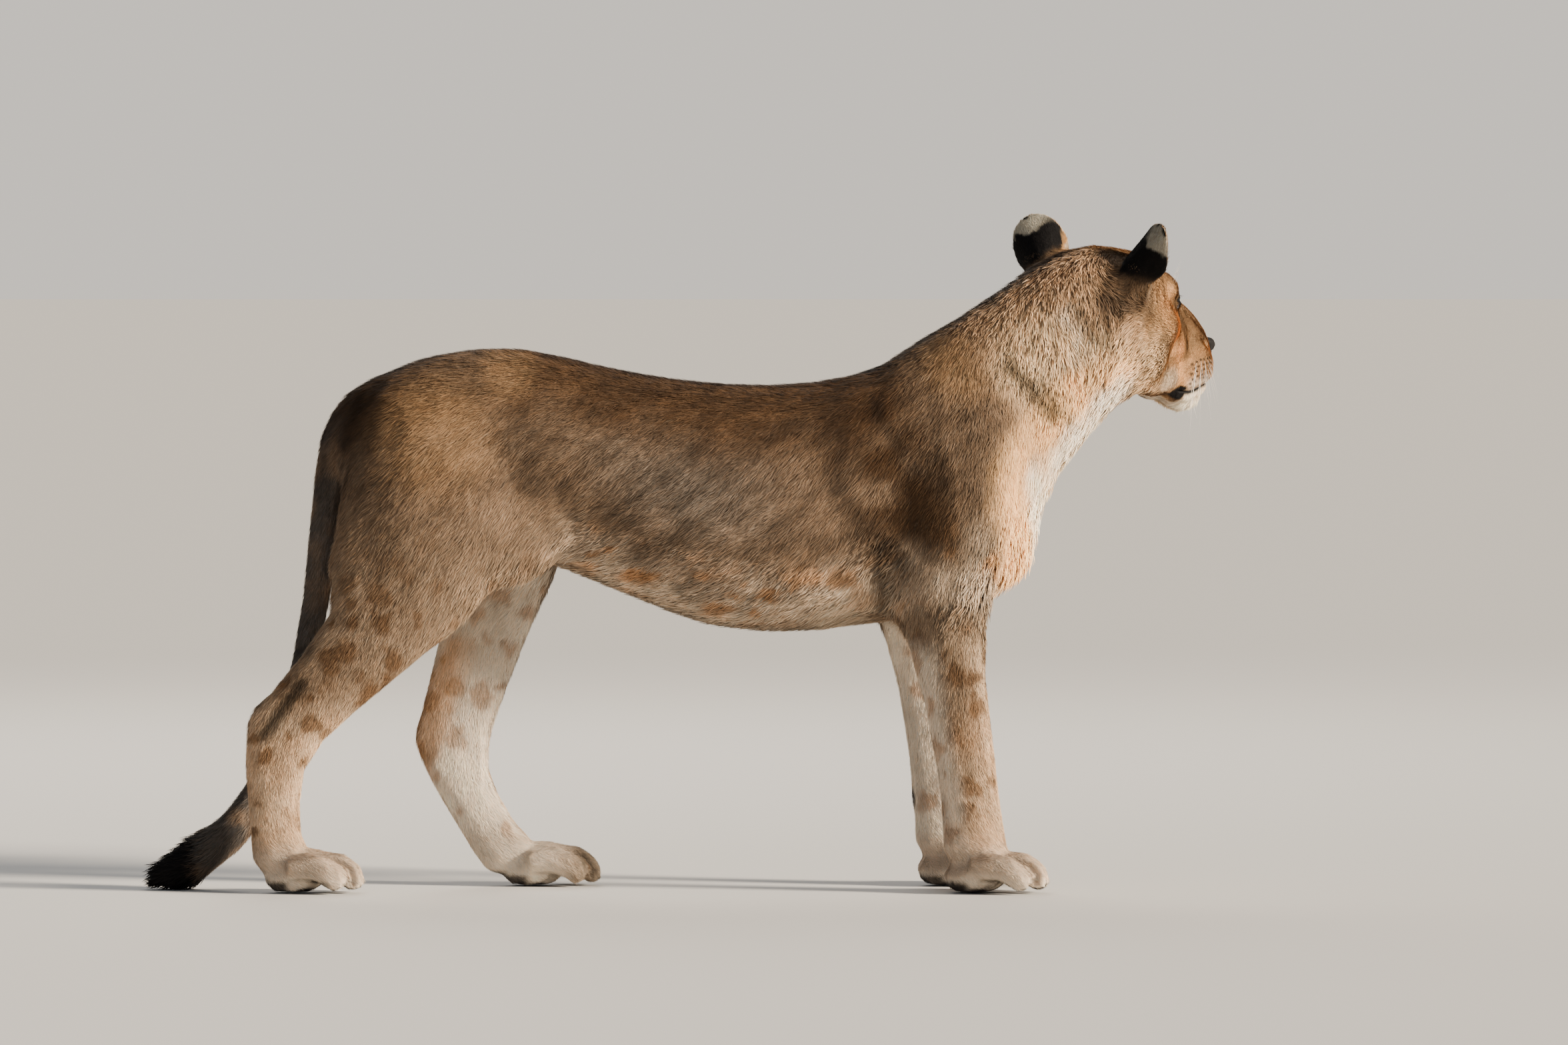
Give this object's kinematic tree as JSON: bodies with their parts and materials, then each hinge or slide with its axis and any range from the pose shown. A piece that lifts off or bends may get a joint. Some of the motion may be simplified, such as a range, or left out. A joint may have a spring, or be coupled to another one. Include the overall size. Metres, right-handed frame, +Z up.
{
  "type": "standing lioness model",
  "caption": "Life-size still model of a standing lioness with her head raised and turned to her left, mouth closed and tail hanging to the ground.",
  "frame": {"origin": "on the ground under the middle of the animal's bounding box", "axes": "+X the way the body faces, towards the head, +Y the animal's left, +Z up"},
  "size_m": [1.6664, 0.4574, 1.0568],
  "materials": {
    "coat": "short tawny fur",
    "pale_coat": "short cream fur",
    "dark_coat": "black fur",
    "eye": "wet gloss, amber",
    "nose": "dark moist leather"
  },
  "bodies": {
    "root": {"head": "coat", "lower_jaw": "pale_coat", "neck": "coat", "chest": "coat", "belly": "coat", "rump": "coat", "tail_root": "coat", "tail_middle": "coat", "tail_end": "coat", "tail_tuft": "dark_coat", "shoulder_left": "coat", "shoulder_right": "coat", "forearm_left": "coat", "forearm_right": "coat", "forepaw_left": "pale_coat", "forepaw_right": "pale_coat", "thigh_left": "coat", "thigh_right": "coat", "shank_left": "pale_coat", "shank_right": "coat", "hind_foot_left": "pale_coat", "hind_foot_right": "coat", "hind_paw_left": "pale_coat", "hind_paw_right": "pale_coat", "ear_left": "dark_coat", "ear_right": "dark_coat", "eye_left": "eye", "eye_right": "eye", "nose": "nose"}
  },
  "joints": []
}
